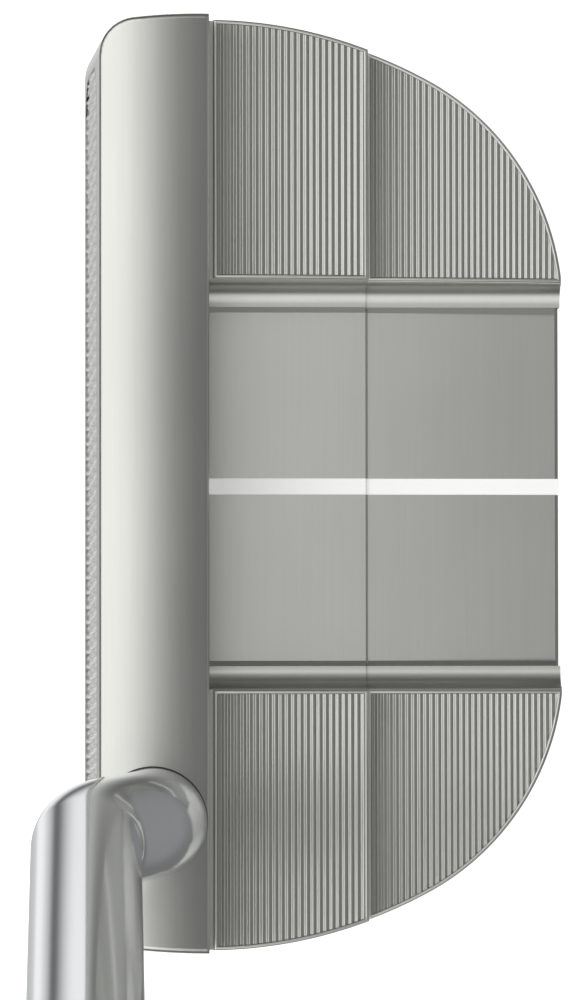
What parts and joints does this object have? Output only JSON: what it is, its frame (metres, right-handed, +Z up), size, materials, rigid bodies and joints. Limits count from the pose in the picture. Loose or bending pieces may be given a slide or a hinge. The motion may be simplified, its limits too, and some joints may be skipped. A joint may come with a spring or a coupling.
{
  "type": "mallet putter",
  "caption": "Right-handed mid-mallet putter with ribbed stepped wings, a ball-width sighting channel, a double-bend steel shaft and a pistol grip.",
  "frame": {"origin": "on the ground, in the middle of the sole, under the alignment line", "axes": "+Z up, +X from the face to the rear of the head, +Y from heel to toe"},
  "size_m": [0.0627, 0.3796, 0.815],
  "materials": {
    "head_steel": "fine satin plating, slightly warm silver",
    "insert_metal": "diagonally milled, satin",
    "pad_elastomer": "matt",
    "white_paint": "white enamel fill",
    "plate_aluminium": "brushed",
    "screw_steel": "turned",
    "weight_steel": "turned",
    "shaft_chrome": "polished chrome plating",
    "epoxy": "cured epoxy",
    "plug_plastic": "moulded",
    "tape": "paper-backed double-sided tape",
    "grip_rubber": "moulded rubber with fine grooves",
    "cap_rubber": "smooth moulded rubber"
  },
  "bodies": {
    "root": {"head_body": "head_steel", "face_insert": "insert_metal", "face_pad": "pad_elastomer", "alignment_line": "white_paint", "sole_plate": "plate_aluminium", "sole_screws": "screw_steel", "heel_weight": "weight_steel", "toe_weight": "weight_steel", "shaft": "shaft_chrome", "shaft_bond": "epoxy", "tip_plug": "plug_plastic", "grip_tape": "tape", "grip": "grip_rubber", "grip_cap": "cap_rubber"}
  },
  "joints": []
}
